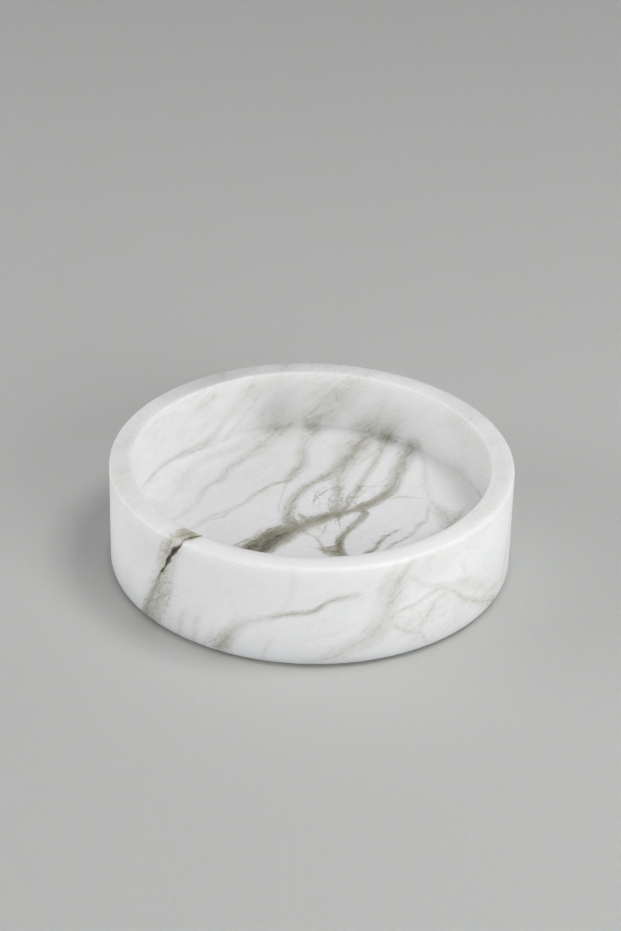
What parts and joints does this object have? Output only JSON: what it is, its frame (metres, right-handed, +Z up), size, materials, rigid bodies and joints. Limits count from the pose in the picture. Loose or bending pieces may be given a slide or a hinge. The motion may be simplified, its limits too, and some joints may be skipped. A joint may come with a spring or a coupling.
{
  "type": "soap dish",
  "caption": "Round, straight-sided shallow soap dish turned from veined translucent alabaster, standing on small clear self-adhesive foot pads.",
  "frame": {"origin": "on the turning axis, in the plane that the foot pads stand on", "axes": "+Z up along the turning axis; the picture is taken from -Y, with +X to the right"},
  "size_m": [0.13, 0.13, 0.036],
  "materials": {
    "alabaster": "honed and waxed, white with grey-brown veins",
    "clear_silicone": "satin, cloudy clear",
    "adhesive": "matt, cloudy"
  },
  "bodies": {
    "root": {"dish_body": "alabaster", "foot_pad_1": "clear_silicone", "foot_pad_2": "clear_silicone", "foot_pad_3": "clear_silicone", "foot_pad_4": "clear_silicone", "adhesive_disc_1": "adhesive", "adhesive_disc_2": "adhesive", "adhesive_disc_3": "adhesive", "adhesive_disc_4": "adhesive"}
  },
  "joints": []
}
